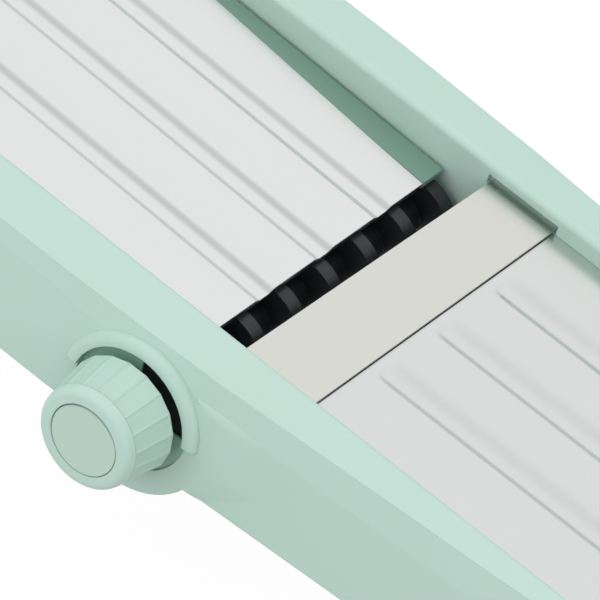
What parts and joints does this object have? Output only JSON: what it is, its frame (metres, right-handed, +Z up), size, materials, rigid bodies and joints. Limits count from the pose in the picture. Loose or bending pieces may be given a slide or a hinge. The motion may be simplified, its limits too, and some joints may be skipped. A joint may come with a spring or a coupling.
{
  "type": "mandoline slicer",
  "caption": "Adjustable mandoline slicer: grooved steel ramp and skewed blade between side rails, side dial and cam drum for slice thickness, fold-out stand.",
  "frame": {"origin": "on the floor under the middle of the bounding box", "axes": "+Z up; +Y runs from the low outfeed end to the raised grip; +X points away from the dial, which is on the -X side"},
  "size_m": [0.1442, 0.3641, 0.1603],
  "materials": {
    "mint_plastic": "smooth satin moulded plastic",
    "black_plastic": "matt black moulded plastic",
    "steel_sheet": "satin stainless sheet, brushed along its length",
    "blade_steel": "ground hardened stainless",
    "bright_steel": "plated steel",
    "rubber": "matt rubber"
  },
  "bodies": {
    "frame": {"left_rail": "mint_plastic", "right_rail": "mint_plastic", "foot_cap": "mint_plastic", "foot_pads": "rubber", "head_grip": "mint_plastic", "outfeed_bed": "mint_plastic", "outfeed_plate": "steel_sheet", "blade_carrier": "black_plastic", "blade": "blade_steel", "blade_studs": "bright_steel", "blade_nuts": "bright_steel", "carrier_screws": "bright_steel", "frame_screws": "bright_steel", "ramp_hinge_pins": "bright_steel", "stand_pivot_pins": "bright_steel", "stand_washers": "black_plastic", "axle_bush": "black_plastic", "click_spring": "bright_steel", "click_screw": "bright_steel"},
    "ramp": {"ramp_tray": "mint_plastic", "ramp_plate": "steel_sheet", "ramp_shoe": "black_plastic"},
    "dial": {"cam_drum": "black_plastic", "drum_axle": "bright_steel", "click_wheel": "black_plastic", "dial_knob": "mint_plastic", "dial_cap": "steel_sheet", "dial_screw": "bright_steel"},
    "stand": {"stand_leg_left": "mint_plastic", "stand_leg_right": "mint_plastic", "stand_cross_bar": "bright_steel", "stand_feet": "rubber"}
  },
  "joints": [
    {"name": "dial_spin", "type": "hinge", "parent": "frame", "child": "dial", "pos_m": [0.00848, -0.04148, 0.05748], "axis": [1, 0, 0], "range_deg": [-135, 135]},
    {"name": "ramp_tilt", "type": "hinge", "parent": "frame", "child": "ramp", "pos_m": [0.00848, 0.13379, 0.13852], "axis": [1, 0, 0], "range_deg": [-1.05, 1.05]},
    {"name": "stand_fold", "type": "hinge", "parent": "frame", "child": "stand", "pos_m": [0.00848, 0.09613, 0.10774], "axis": [1, 0, 0], "range_deg": [-76, 0]}
  ],
  "couplings": [
    {"joint": "ramp_tilt", "follows": "dial_spin", "ratio": 0.0066142}
  ]
}
